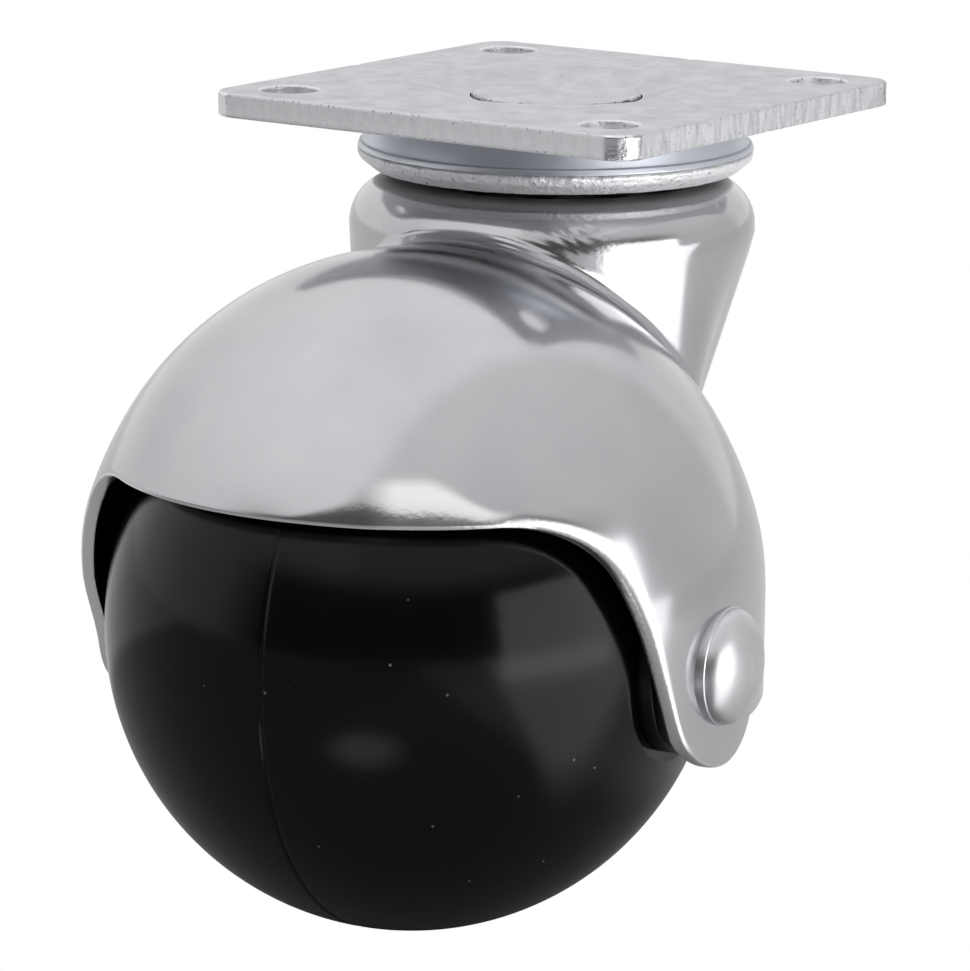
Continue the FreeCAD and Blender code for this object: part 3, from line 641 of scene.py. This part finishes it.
def thrust_washer(material):
    """Flat ring with eased edges under the neck."""
    corners = [
        (PIN_RADIUS, -WASHER_TOP),
        (WASHER_RADIUS, -WASHER_TOP, 0.25),
        (WASHER_RADIUS, -WASHER_FOOT, 0.25),
        (PIN_RADIUS, -WASHER_FOOT),
    ]
    add_piece("thrust_washer_ring", [(turned(rounded_path(corners, 0.5, closed=True), 120), True, True)],
              material, "plate", "thrust_washer")


def rolled_share(points):
    """1 on the lip that was rolled in below the cup's rim, 0 above it."""
    return smooth(-RIM_DROP - CUP_LAND + 0.1, -RIM_DROP - CUP_LAND - 0.1, points[..., 2])


def groove_shade_share(points):
    """Up to 0.7 of painted shade in the fine groove between the rim's land and the lip, as a bell curve of the
    height.
    """
    outside = np.hypot(points[..., 0], points[..., 1]) > CUP_RADIUS
    return 0.7 * np.exp(-((points[..., 2] + RIM_DROP + CUP_LAND + 0.05) / 0.08) ** 2) * outside


def race_cup():
    """Pressed ring turned about the swivel axis, with an uneven lip.

    The wall flares to a step and a narrow land, and the lip below turns in and wanders a little.
    """
    rim = CUP_RADIUS + CUP_FLARE
    land_drop = RIM_DROP + CUP_LAND
    corners = [
        (BOSS_RADIUS, -PLATE_GAUGE),
        (CUP_RADIUS, -PLATE_GAUGE, 0.6),
        (rim - 0.5, -RIM_DROP, 0.1),
        (rim - 0.2, -RIM_DROP - 0.06, 0.1),
        (rim - 0.05, -land_drop, 0.1),
        (rim - 0.2, -land_drop - 0.06, 0.05),
        (rim, -land_drop - 0.3, 0.25),
        (rim - 0.3, -land_drop - 0.9, 0.6),
        (CUP_RADIUS + 0.05, -LIP_DROP, 0.3),
        (CUP_RADIUS - CUP_GAUGE, -LIP_DROP, 0.3),
        (rim - CUP_GAUGE, -land_drop, 0.5),
        (CUP_RADIUS - CUP_GAUGE, -BOSS_DROP, 0.5),
        (RACE_RADIUS + 1.1, -BOSS_DROP),
        (RACE_RADIUS, -BOSS_DROP + 0.35, 1.2),
        (RACE_RADIUS - 1.1, -BOSS_DROP),
        (BOSS_RADIUS, -BOSS_DROP),
    ]
    ring = turned(rounded_path(corners, 0.22, closed=True), 300)
    uneven = 0.03 * waves(ring * [1, 1, 2.5], 2.2, 11) * rolled_share(ring)
    ring[..., 2] += 0.6 * uneven
    ring[..., :2] *= (1 + uneven / CUP_RADIUS)[..., None]
    add_piece("race_cup_ring", [(ring, True, True)], zinc_pressing(), "plate", "race_cup",
              {"lip": rolled_share, "groove": groove_shade_share})


# Hood
EYE = np.array([0.0, 0.0, -30.0])
HALVINGS = 40


def rounded_edge(one, other, cosine, radius):
    """Distance to the wedge where both distances are negative, with its edge rounded to a radius.

    The cosine is that of the angle between the two faces' normals. Beside the edge the distance is
    measured from the line where both faces, moved in by the radius, meet, and elsewhere it is the larger
    one.
    """
    one, other = one + radius, other + radius
    along_one = (one - cosine * other) / (1 - cosine**2)
    along_other = (other - cosine * one) / (1 - cosine**2)
    beside = np.sqrt(np.maximum(along_one * one + along_other * other, 0))
    return np.where((along_one > 0) & (along_other > 0), beside, np.maximum(one, other)) - radius


def neck_and_dome(points):
    """Distances outside the neck and outside the dome, and the cosine of the angle between their faces.

    The neck is a cone about the swivel axis with a rounded top edge. Below its widest height it narrows
    at the back and sides and is nearly upright at the front. The dome is a ball that goes on down as an
    upright cylinder.
    """
    x, y, z = np.moveaxis(points, -1, 0)
    radius = np.maximum(np.hypot(x, y), 1e-9)
    taper = NECK_FRONT_TAPER + (NECK_TAPER - NECK_FRONT_TAPER) * smooth(-0.45, 0.15, y / radius)
    cosine = 1 / np.sqrt(1 + taper**2)
    sine = taper * cosine
    widest = NECK_RADIUS - NECK_TAPER * NECK_WIDEST
    side = (radius - widest) * cosine - (z + NECK_DROP + NECK_WIDEST) * sine
    neck = rounded_edge(side, z + NECK_DROP, -sine, NECK_SHOULDER)
    ahead, up = y + HOOD_TRAIL, np.maximum(z + HOOD_DROP, 0)
    reach = np.maximum(np.sqrt(x**2 + ahead**2 + up**2), 1e-9)
    between = ((x * x + y * ahead) / radius * cosine - up * sine) / reach
    return neck, reach - HOOD_RADIUS, np.clip(between, -0.95, 0.95)


def crease_share(points):
    """1 along the front of the line where neck and dome meet, fading to the middle and the sides."""
    turn = np.degrees(np.arctan2(np.abs(points[..., 0]), -points[..., 1]))
    return smooth(4, 18, turn) * smooth(62, 44, turn)


def creases(points, neck, dome):
    """Height of the wrinkles that drawing left in the sheet.

    Some run along the line where neck and dome meet, as waves of the distance from it. Others cross the
    neck's front at a slant, in a round patch on the right.
    """
    beyond = neck - dome
    beside = smooth(-2.4, -1.4, beyond) * smooth(1.0, 0.3, beyond) * crease_share(points)
    broken = np.clip(0.6 + 0.7 * waves(points, 5.0, 21, 8), 0, 1.4)
    wander = 0.8 * waves(points, 9.0, 22, 8)
    along = np.sin(2 * math.pi * beyond / CREASE_PITCH + wander) * beside * broken
    turn = np.arctan2(points[..., 0], -points[..., 1])
    across, height = NECK_RADIUS * (turn - STRETCH_TURN), points[..., 2] + STRETCH_DROP
    patch = np.exp(-(across / 2.4) ** 2 - (height / 1.7) ** 2) * smooth(0.2, 1.0, dome)
    rise = 0.57 * across + 0.82 * height
    slant = np.sin(2 * math.pi * rise / STRETCH_PITCH + waves(points, 4.0, 23, 8))
    return CREASE_HEIGHT * along + STRETCH_HEIGHT * slant * patch


def hood_distance(points):
    """Distance outside the hood's outer skin, negative inside: neck, dome and a hollow fillet between."""
    neck, dome, between = neck_and_dome(points)
    return -rounded_edge(-neck, -dome, between, HOOD_BLEND) - creases(points, neck, dome)


def hood_skin(azimuth, polar, inset):
    """Skin of the hood, an inset below the outer one, along lines of sight from a point inside.

    Azimuth turns about the swivel axis from the front, and polar is the angle from straight up. Each
    sight line is halved again and again until it ends on the skin.
    """
    azimuth, polar = np.broadcast_arrays(azimuth, polar)
    level = np.sin(polar)
    aim = np.stack([level * np.sin(azimuth), -level * np.cos(azimuth), np.cos(polar)], -1)
    near, far = np.zeros(polar.shape), np.full(polar.shape, 80.0)
    for _ in range(HALVINGS):
        middle = (near + far) / 2
        inside = hood_distance(EYE + aim * middle[..., None]) < -inset
        near, far = np.where(inside, middle, near), np.where(inside, far, middle)
    return EYE + aim * near[..., None]


def trim_distance(points):
    """Distance beyond the trimmed edge in side view, negative on the sheet that is kept.

    Kept is what lies above the level brow or behind the sloping front of the ear, with a hollow sweep
    between the two, and above the rising lower edge, with a round lobe below the axle.
    """
    ahead, height = -points[..., 1] - TRAIL, points[..., 2] + BALL_DROP
    brow = BROW_RISE - height
    front_x, front_y = math.sin(EAR_ANGLE), -math.cos(EAR_ANGLE)
    lobe = EAR_RADIUS - EAR_DROP
    ear = ahead * front_x + (height - lobe) * front_y - EAR_RADIUS
    gap, fall = SKIRT_REACH, lobe + SKIRT_DROP
    tilt = math.atan2(fall, gap) - math.acos(EAR_RADIUS / math.hypot(gap, fall))
    low_x, low_y = -math.cos(tilt), math.sin(tilt)
    rise = ahead * low_x + (height - lobe) * low_y - EAR_RADIUS
    low = np.minimum(rise, -SKIRT_DROP - height)
    behind = rounded_edge(ear, low, front_x * low_x + front_y * low_y, EAR_RADIUS)
    return -rounded_edge(-brow, -behind, -front_y, BROW_CURVE)


def last_polar(azimuth, inset, far, test):
    """Largest polar angle, up to far, at which the skin still passes a test that holds near its top."""
    near = np.full(azimuth.shape, 0.4)
    for _ in range(HALVINGS):
        middle = (near + far) / 2
        kept = test(hood_skin(azimuth, middle, inset))
        near, far = np.where(kept, middle, near), np.where(kept, far, middle)
    return near


def on_neck(points):
    """True above the line where neck and dome meet."""
    neck, dome, _ = neck_and_dome(points)
    return neck < dome


def brow_turn(points):
    """Degrees about the dome's middle, from straight ahead to the right."""
    return np.degrees(np.arctan2(points[..., 0], -points[..., 1] - HOOD_TRAIL))


def brow_band(points):
    """Width of the band along the front edge that curls in: widest at the front right."""
    turn = brow_turn(points)
    return 0.6 + 3.4 * smooth(3, 23, turn) - 2.6 * smooth(28, 42, turn) - 0.9 * smooth(60, 74, turn)


def band_share(points):
    """1 at the trimmed edge, falling evenly to 0 at the inner end of the band that curls in."""
    inward = np.clip(-trim_distance(points), 0, None)
    return np.clip(1 - inward / brow_band(points), 0, 1)


def dwell_share(points):
    """1 in the short stretch of the brow where the band is nearly flat and bends only at its edge."""
    turn = brow_turn(points)
    return smooth(17, 24, turn) * smooth(46, 38, turn)


def painted_highlight_share(points):
    """1 on that flat stretch, where the colour is lightened as a painted highlight."""
    return smooth(0, 0.3, band_share(points)) * dwell_share(points)


def brow_curled(points):
    """Turns the front edge in to the ball, by a power of the band's share: 2, or more on the flat."""
    up = np.maximum(points[..., 2] + HOOD_DROP, 0)
    outward = np.stack([points[..., 0], points[..., 1] + HOOD_TRAIL, up], -1)
    outward /= np.linalg.norm(outward, axis=-1, keepdims=True)
    dwell = dwell_share(points)
    depth = CURL * (1 - 0.4 * dwell) * brow_band(points) * band_share(points) ** (2 + 2.5 * dwell)
    return points - outward * depth[..., None]


def ears_spread(points):
    """Spreads both ears a little, from below the brow down, and bends the left one's tip back in."""
    spread = points.copy()
    height = points[..., 2] + BALL_DROP
    spread[..., 0] += np.sign(points[..., 0]) * EAR_SPREAD * smooth(16, 6, height)
    spread[..., 0] += (points[..., 0] < 0) * EAR_TUCK * smooth(3, -3.5, height)
    return spread


def ball_track(points):
    """Sinks the ring in the neck's top in which the bearing balls run."""
    beside = np.hypot(points[..., 0], points[..., 1]) - RACE_RADIUS
    floor = -RACE_DROP - np.sqrt(np.maximum(TRACK_RADIUS**2 - beside**2, 0))
    sunk = points.copy()
    sunk[..., 2] = np.minimum(points[..., 2], np.where(np.abs(beside) < TRACK_RADIUS, floor, 0))
    return sunk


def swivel_hood():
    """The pressing as one closed sheet: outer skin, rounded trimmed edge, inner skin and pin hole.

    Rows of both skins crowd together where neck and dome meet, and at the trimmed edge.
    """
    share = np.linspace(-1, 1, 440, endpoint=False)
    azimuth = math.pi * (0.45 * share + 0.55 * share**3)
    bottom = np.full(azimuth.shape, 3.0)
    skins = []
    for inset, above, beside, below in ((0.0, 44, 36, 80), (SHEET, 14, 12, 24)):
        level = -NECK_DROP - inset - EYE[2]
        top = np.full(azimuth.shape, math.atan2(PIN_HOLE, level))
        bend = math.atan2(NECK_RADIUS - NECK_SHOULDER / 2, level - NECK_SHOULDER / 4)
        shoulder = np.full(azimuth.shape, bend)
        edge = last_polar(azimuth, inset, bottom, lambda points: trim_distance(points) < -HOOD_EDGE)
        meet = last_polar(azimuth, inset, edge, on_neck)
        meet = np.minimum(meet, top + 0.8 * (edge - top))
        upper = np.linspace(top, shoulder, above, endpoint=False)
        eased = (1 - np.cos(np.linspace(0, math.pi, beside, endpoint=False)))[:, None] / 2
        middle = shoulder + (meet - shoulder) * eased
        lower = meet + (edge - meet) * (1 - np.cos(np.linspace(0, math.pi, below)))[:, None] / 2
        skins.append(hood_skin(azimuth, np.concatenate([upper, middle, lower]), inset))
    outer, inner = skins
    tip_polar = last_polar(azimuth, SHEET / 2, bottom, lambda points: trim_distance(points) < 0)
    tip = hood_skin(azimuth, tip_polar, SHEET / 2)
    across = np.linspace(0, 1, 14)[1:-1, None, None]
    swell = (1 - np.abs(2 * across - 1) ** 3) ** (1 / 3)
    edge = outer[-1] + (inner[-1] - outer[-1]) * across + (tip - (outer[-1] + inner[-1]) / 2) * swell
    sheet = np.concatenate([outer, edge, inner[::-1]])
    # painted shade mark: the inside skin
    inside = np.zeros(sheet.shape[:2])
    inside[len(outer) + len(edge):] = 1
    # painted highlight mark: the flat stretch of the brow and the whole trimmed edge
    painted_highlight = painted_highlight_share(sheet)
    painted_highlight[len(outer):len(outer) + len(edge)] = 1
    radius = np.hypot(sheet[..., 0], sheet[..., 1])
    on_top = smooth(-NECK_DROP - 0.65, -NECK_DROP - 0.4, sheet[..., 2])
    creased = 0.5 * crease_share(sheet) * smooth(3.0, 0.5, np.abs(sheet[..., 2] + 11))
    marks = {
        "inside": inside,
        "dull": np.maximum(inside, on_top),
        # painted shade mark: the neck's top round its edge, under the cup's lip
        "painted_gap_shade": on_top * smooth(CUP_RADIUS - 0.6, CUP_RADIUS + 0.8, radius),
        "worked": np.maximum(creased, band_share(sheet) ** 2),
        "painted_highlight": painted_highlight,
    }
    sheet[:len(outer)] = ball_track(outer)
    formed = ears_spread(brow_curled(sheet))
    add_piece("swivel_hood_pressing", [(at_rest(formed), True, True)], bright_plated_steel(), "swivel",
              "swivel_hood", marks)


# Ball, bushes and axle rivet
def ball_wheel():
    """Ball turned about the axle: bore, flat for the bush, ball surface and parting line, twice."""
    flat = math.sqrt(BALL_RADIUS**2 - HUB_FACE**2)
    flat_turn = math.asin(flat / BALL_RADIUS)
    bush_end = HUB_FACE - BUSH_LENGTH
    hub = [
        (BORE_RADIUS, 0),
        (BORE_RADIUS, bush_end),
        (BUSH_RADIUS, bush_end),
        (BUSH_RADIUS, HUB_FACE),
        (flat, HUB_FACE, HUB_RIM),
        (BALL_RADIUS * math.sin(flat_turn + 0.03), BALL_RADIUS * math.cos(flat_turn + 0.03)),
    ]
    turn = np.linspace(flat_turn + 0.04, math.pi / 2 - 0.03, 110)
    shell = BALL_RADIUS * np.stack([np.sin(turn), np.cos(turn)], -1)
    beside = np.linspace(0.7, 0, 15)
    groove = SEAM_DEPTH * np.exp(-(beside / 0.16) ** 2)
    seam = np.stack([np.sqrt(BALL_RADIUS**2 - beside**2) - groove, beside], -1)
    half = np.concatenate([rounded_path(hub, 0.5), shell, seam])
    profile = np.concatenate([half, half[-2:0:-1] * [1, -1]])
    add_piece("ball_wheel_moulding", [(at_rest(along_axle(turned(profile, 240))), True, True)],
              black_polypropylene("black_polypropylene", 0.2), "ball", "ball_wheel")


def hub_bushes():
    """Flanged bushes, pressed into both ends of the ball's bore."""
    material = black_polypropylene("black_bush_plastic", 0.4)
    bore = AXLE_RADIUS + 0.08
    corners = [
        (bore, HUB_FACE - BUSH_LENGTH),
        (BUSH_RADIUS, HUB_FACE - BUSH_LENGTH),
        (BUSH_RADIUS, HUB_FACE),
        (BUSH_FLANGE_RADIUS, HUB_FACE, 0.2),
        (BUSH_FLANGE_RADIUS, HUB_FACE + BUSH_FLANGE, 0.3),
        (bore, HUB_FACE + BUSH_FLANGE, 0.2),
    ]
    profile = rounded_path(corners, 0.6, closed=True)
    for name, side in (("right", 1), ("left", -1)):
        bush = at_rest(along_axle(turned(profile * [1, side], 100)))
        node = f"hub_bush_{name}"
        add_piece(f"{node}_moulding", [(bush, True, True)], material, "ball", node)


def axle_rivet(material):
    """Rivet turned about the axle: domed head, shank, and a low domed end on the other side.

    Both ends are bedded in the sheet of the round ears, so that no gap shows at their rims.
    """
    rim = EAR_SEAT + RIVET_RIM
    bed = EAR_SEAT - SHEET / 2
    tail_bed = EAR_SEAT - 0.8 * SHEET
    turn = np.linspace(0, math.pi / 2, 24)
    crown = np.stack([(RIVET_HEAD_RADIUS - 0.1) * np.cos(turn), rim + RIVET_DOME * np.sin(turn)], -1)
    corners = [
        (RIVET_TAIL_RADIUS, -EAR_SEAT),
        (RIVET_TAIL_RADIUS, -tail_bed),
        (AXLE_RADIUS, -tail_bed),
        (AXLE_RADIUS, bed),
        (RIVET_HEAD_RADIUS, bed),
        (RIVET_HEAD_RADIUS, rim - 0.08, 0.08),
        (RIVET_HEAD_RADIUS - 0.1, rim),
    ]
    foot = np.stack([RIVET_TAIL_RADIUS * np.sin(turn), -EAR_SEAT - RIVET_TAIL * np.cos(turn)], -1)
    profile = np.concatenate([foot[:-1], rounded_path(corners, 0.5)[:-1], crown])
    add_piece("axle_rivet_turned", [(at_rest(along_axle(turned(profile, 140))), False, True)],
              material, "swivel", "axle_rivet")


def race_balls():
    """Gives the bearing balls, which are plain balls in the solids too, their steel."""
    material = bearing_steel()
    for name, node in frame["nodes"].items():
        if name.startswith("race_ball"):
            node.data.materials.clear()
            node.data.materials.append(material)
            node.data.shade_smooth()


# Stage, light and camera
VIEW_AZIMUTH = math.radians(34.953)
VIEW_ELEVATION = math.radians(12.909)
VIEW_ROLL = math.radians(0.481)
VIEW_DISTANCE = 400.0
VIEW_TARGET = (-5.722, -34.694)
FOCAL_PIXELS = 4654.3
PICTURE_HEIGHT = 971
SENSOR = 36.0
FLOOR_REACH = 6.0


def view_axes():
    """Right, up and back of the camera before its slight roll, and the level direction towards it."""
    level = Vector((math.sin(VIEW_AZIMUTH), -math.cos(VIEW_AZIMUTH), 0))
    back = level * math.cos(VIEW_ELEVATION) + Vector((0, 0, math.sin(VIEW_ELEVATION)))
    right = Vector((math.cos(VIEW_AZIMUTH), math.sin(VIEW_AZIMUTH), 0))
    return right, back.cross(right), back, level


def add_floor():
    """A wide floor that the ball stands on.

    The camera sees it plain white. In reflections its colour is painted light and shade: painted shade,
    grey, at the front left, pale on the right and behind, and painted light glowing from a sheet at the
    front right and from a small patch in front.
    """
    material, tree, spot = new_material("floor_with_painted_light")
    right, _, _, level = view_axes()
    lit_spot = level * 0.08 - right * 0.025 - Vector((0, 0, FLOOR_DROP * MM))
    across = add_node(tree, "VectorMath", {0: spot, 1: right}, operation="DOT_PRODUCT")
    toward = add_node(tree, "VectorMath", {0: spot, 1: level}, operation="DOT_PRODUCT")
    slant = add_node(tree, "VectorMath", {0: spot, 1: right - level * 0.51}, operation="DOT_PRODUCT")
    away = add_node(tree, "VectorMath", {0: spot, 1: lit_spot}, operation="DISTANCE")
    beyond, behind, beside, front, patch = (
        add_node(tree, "MapRange", {
            "Value": value, "From Min": start, "From Max": end, "To Min": first, "To Max": last},
            interpolation_type="SMOOTHSTEP")
        for value, start, end, first, last in (
            (across, 0.015, 0.03, 0, 1),
            (toward, -0.03, -0.05, 0, 1),
            (slant, -0.014, -0.006, 0, 1),
            (toward, 0.04, 0.058, 0, 1.3),
            (away, 0.004, 0.016, 1.2, 0),
        )
    )
    pale = add_node(tree, "Math", {0: beyond, 1: behind}, operation="MAXIMUM")
    # painted shade: grey at the front left, pale on the right and behind, seen in reflections
    shade = add_node(tree, "Mix", {"Factor": pale, "A": "969698", "B": "dadada"}, data_type="RGBA")
    sheet = add_node(tree, "Math", {0: beside, 1: front}, operation="MULTIPLY")
    # painted light: glowing patches that stand for lamp-lit floor
    painted_floor_light = add_node(tree, "Math", {0: sheet, 1: patch})
    matt = add_node(tree, "BsdfPrincipled", {
        "Base Color": shade, "Roughness": 0.9, "Emission Color": "ffffff", "Emission Strength": painted_floor_light})
    white = add_node(tree, "Emission", {"Color": "ffffff", "Strength": 1.0})
    seen = add_node(tree, "LightPath").outputs["Is Camera Ray"]
    either = add_node(tree, "MixShader", {0: seen, 1: matt, 2: white})
    add_node(tree, "OutputMaterial", {"Surface": either})
    mesh = bpy.data.meshes.new("floor")
    sides = np.array([(-1, -1), (1, -1), (1, 1), (-1, 1)]) * FLOOR_REACH
    mesh.from_pydata([(x, y, -FLOOR_DROP * MM) for x, y in sides], [], [(0, 1, 2, 3)])
    mesh.materials.append(material)
    floor = bpy.data.objects.new("floor", mesh)
    bpy.context.scene.collection.objects.link(floor)


def add_camera():
    """Camera at the photograph's view: so far from a point beside the swivel axis, with a long lens."""
    right, up, back, _ = view_axes()
    data = bpy.data.cameras.new("camera")
    data.sensor_width = SENSOR
    data.lens = FOCAL_PIXELS / PICTURE_HEIGHT * SENSOR
    data.clip_start = 0.01
    data.clip_end = 20
    camera = bpy.data.objects.new("camera", data)
    bpy.context.scene.collection.objects.link(camera)
    target = right * VIEW_TARGET[0] + Vector((0, 0, VIEW_TARGET[1]))
    rolled = Matrix((right, up, back)).transposed() @ Matrix.Rotation(VIEW_ROLL, 3, "Z")
    camera.matrix_world = Matrix.Translation((target + back * VIEW_DISTANCE) * MM) @ rolled.to_4x4()
    bpy.context.scene.camera = camera


def add_lamp(name, azimuth, height, distance, width, tall, radiance):
    """A soft upright lamp facing the swivel axis, so far to the right of the camera's direction.

    The azimuth is in degrees, lengths are in metres, and the height is its middle's above the floor.
    """
    right, _, _, level = view_axes()
    turn = math.radians(azimuth)
    aim = level * math.cos(turn) + right * math.sin(turn)
    data = bpy.data.lights.new(name, "AREA")
    data.shape = "RECTANGLE"
    data.size = width
    data.size_y = tall
    data.energy = math.pi * radiance * width * tall
    lamp = bpy.data.objects.new(name, data)
    bpy.context.scene.collection.objects.link(lamp)
    lamp.location = aim * distance + Vector((0, 0, height - FLOOR_DROP * MM))
    lamp.rotation_mode = "QUATERNION"
    lamp.rotation_quaternion = aim.to_track_quat("Z", "Y")


def light_world():
    """A studio: a large bright panel above and behind on the left, dim elsewhere, dark behind the camera.

    The panel's edge is a straight line overhead. The light is brightest overhead and falls off towards
    the horizon. The dark part is low down, on the camera's side only.
    """
    world = bpy.data.worlds.new("studio")
    bpy.context.scene.world = world
    world.use_nodes = True
    tree = world.node_tree
    tree.nodes.clear()
    aim = add_node(tree, "TexCoord").outputs["Generated"]
    right, _, _, level = view_axes()
    up = add_node(tree, "SeparateXYZ", {0: aim}).outputs["Z"]
    toward = add_node(tree, "VectorMath", {0: aim, 1: level}, operation="DOT_PRODUCT")
    panel_line = right * 0.81 + level * 0.58
    across = add_node(tree, "VectorMath", {0: aim, 1: panel_line}, operation="DOT_PRODUCT")
    high = add_node(tree, "MapRange", {
        "Value": up, "From Min": 0.25, "From Max": 0.85, "To Min": 0.85, "To Max": 1.08})
    panel, low, near = (
        add_node(tree, "MapRange", {
            "Value": value, "From Min": start, "From Max": end, "To Min": first, "To Max": last},
            interpolation_type="SMOOTHSTEP")
        for value, start, end, first, last in (
            (across, 0.10, 0.24, 1.15, 0.92),
            (up, 0.38, 0.54, 1, 0),
            (toward, 0.15, 0.6, 0, 0.87),
        )
    )
    dark = add_node(tree, "Math", {0: low, 1: near}, operation="MULTIPLY")
    lit = add_node(tree, "Math", {0: 1.0, 1: dark}, operation="SUBTRACT")
    sky = add_node(tree, "Math", {0: high, 1: panel}, operation="MULTIPLY")
    strength = add_node(tree, "Math", {0: lit, 1: sky}, operation="MULTIPLY")
    backdrop = add_node(tree, "Background", {"Color": "fefeff", "Strength": strength})
    add_node(tree, "OutputWorld", {"Surface": backdrop})


sheet_zinc = zinc_sheet()
rivet_steel = satin_rivet_steel()
mounting_plate(sheet_zinc)
king_pin(sheet_zinc)
thrust_washer(rivet_steel)
race_cup()
swivel_hood()
ball_wheel()
hub_bushes()
axle_rivet(rivet_steel)
race_balls()
add_floor()
add_camera()
light_world()
add_lamp("window", azimuth=48, height=0.0585, distance=0.23, width=0.178, tall=0.117, radiance=2.6)
bpy.context.scene.view_settings.view_transform = "Standard"
